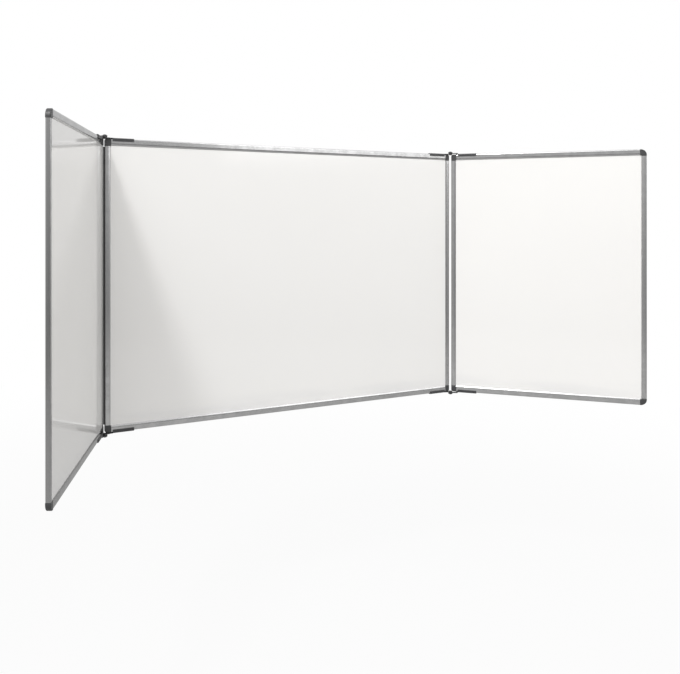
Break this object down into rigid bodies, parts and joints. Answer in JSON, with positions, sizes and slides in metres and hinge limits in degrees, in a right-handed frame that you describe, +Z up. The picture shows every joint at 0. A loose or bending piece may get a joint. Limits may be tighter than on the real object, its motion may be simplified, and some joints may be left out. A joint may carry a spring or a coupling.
{
  "type": "folding magnetic whiteboard",
  "caption": "Wall-hung magnetic whiteboard: a fixed centre panel with a half-width wing hinged at each side, in a slim rounded frame.",
  "frame": {"origin": "middle of the four wall screws, on the wall plane behind the centre panel", "axes": "+X to the right along the wall as seen from the room, +Y into the wall, +Z up"},
  "size_m": [2.3727, 0.6889, 1.0254],
  "materials": {
    "writing_enamel": "glossy white enamel on steel",
    "back_steel": "plain grey coated steel",
    "board_core": "raw board",
    "frame_aluminium": "satin anodised",
    "corner_plastic": "fine-textured dark grey plastic",
    "strap_metal": "satin near-black coating on steel",
    "screw_steel": "blackened steel",
    "pin_metal": "satin near-black coating on steel",
    "washer_plastic": "plain black plastic",
    "hook_steel": "zinc-plated steel"
  },
  "bodies": {
    "centre_panel": {"centre_writing_sheet": "writing_enamel", "centre_core": "board_core", "centre_back_sheet": "back_steel", "centre_bottom_rail": "frame_aluminium", "centre_top_rail": "frame_aluminium", "centre_left_stile": "frame_aluminium", "centre_right_stile": "frame_aluminium", "centre_bottom_left_corner": "corner_plastic", "centre_top_left_corner": "corner_plastic", "centre_bottom_right_corner": "corner_plastic", "centre_top_right_corner": "corner_plastic", "centre_bottom_left_strap": "strap_metal", "centre_top_left_strap": "strap_metal", "centre_bottom_right_strap": "strap_metal", "centre_top_right_strap": "strap_metal", "centre_strap_screws": "screw_steel", "hinge_pin_bottom_left": "pin_metal", "hinge_washer_bottom_left": "washer_plastic", "wall_hook_bottom_left": "hook_steel", "hinge_pin_top_left": "pin_metal", "hinge_washer_top_left": "washer_plastic", "wall_hook_top_left": "hook_steel", "hinge_pin_bottom_right": "pin_metal", "hinge_washer_bottom_right": "washer_plastic", "wall_hook_bottom_right": "hook_steel", "hinge_pin_top_right": "pin_metal", "hinge_washer_top_right": "washer_plastic", "wall_hook_top_right": "hook_steel"},
    "left_wing": {"left_wing_writing_sheet": "writing_enamel", "left_wing_core": "board_core", "left_wing_back_sheet": "writing_enamel", "left_wing_bottom_rail": "frame_aluminium", "left_wing_top_rail": "frame_aluminium", "left_wing_left_stile": "frame_aluminium", "left_wing_right_stile": "frame_aluminium", "left_wing_bottom_left_corner": "corner_plastic", "left_wing_top_left_corner": "corner_plastic", "left_wing_bottom_right_corner": "corner_plastic", "left_wing_top_right_corner": "corner_plastic", "left_wing_bottom_right_strap": "strap_metal", "left_wing_top_right_strap": "strap_metal", "left_wing_strap_screws": "screw_steel"},
    "right_wing": {"right_wing_writing_sheet": "writing_enamel", "right_wing_core": "board_core", "right_wing_back_sheet": "writing_enamel", "right_wing_bottom_rail": "frame_aluminium", "right_wing_top_rail": "frame_aluminium", "right_wing_left_stile": "frame_aluminium", "right_wing_right_stile": "frame_aluminium", "right_wing_bottom_left_corner": "corner_plastic", "right_wing_top_left_corner": "corner_plastic", "right_wing_bottom_right_corner": "corner_plastic", "right_wing_top_right_corner": "corner_plastic", "right_wing_bottom_left_strap": "strap_metal", "right_wing_top_left_strap": "strap_metal", "right_wing_strap_screws": "screw_steel"}
  },
  "joints": [
    {"name": "left_wing_hinge", "type": "hinge", "parent": "centre_panel", "child": "left_wing", "pos_m": [-0.753, -0.0255, 0], "axis": [0, 0, 1], "range_deg": [-63, 117]},
    {"name": "right_wing_hinge", "type": "hinge", "parent": "centre_panel", "child": "right_wing", "pos_m": [0.753, -0.0255, 0], "axis": [0, 0, -1], "range_deg": [-48, 132]}
  ]
}
